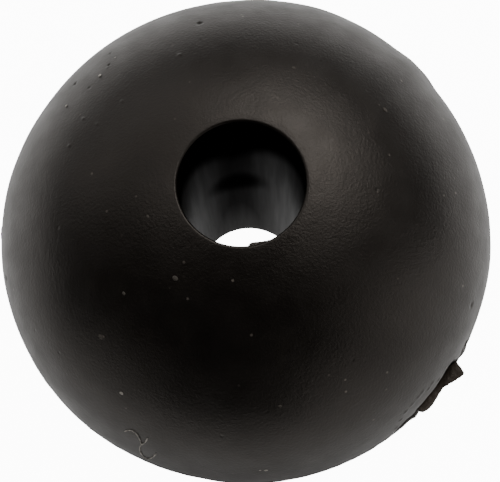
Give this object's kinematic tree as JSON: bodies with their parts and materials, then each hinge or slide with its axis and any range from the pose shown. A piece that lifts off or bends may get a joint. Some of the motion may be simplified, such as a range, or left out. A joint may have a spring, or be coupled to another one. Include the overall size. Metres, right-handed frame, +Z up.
{
  "type": "case opening friction ball",
  "caption": "Solid black rubber ball, a little flattened along its through bore, pressed on a watch case back and turned by hand to unscrew it by friction.",
  "frame": {"origin": "middle of the ball, on the bore's axis, in the plane of the parting line", "axes": "+Z up along the bore, towards the slightly narrower mouth; +X and +Y across it; the large flash tab is about 42 degrees from +X towards -Y"},
  "size_m": [0.0608, 0.0602, 0.0465],
  "materials": {
    "moulded_rubber": "black moulded rubber, satin, a little dusty",
    "flash_rubber": "thin torn rubber flash, duller and browner"
  },
  "bodies": {
    "root": {"ball_body": "moulded_rubber", "edge_flash_tab": "flash_rubber", "edge_flash_sliver": "flash_rubber"}
  },
  "joints": []
}
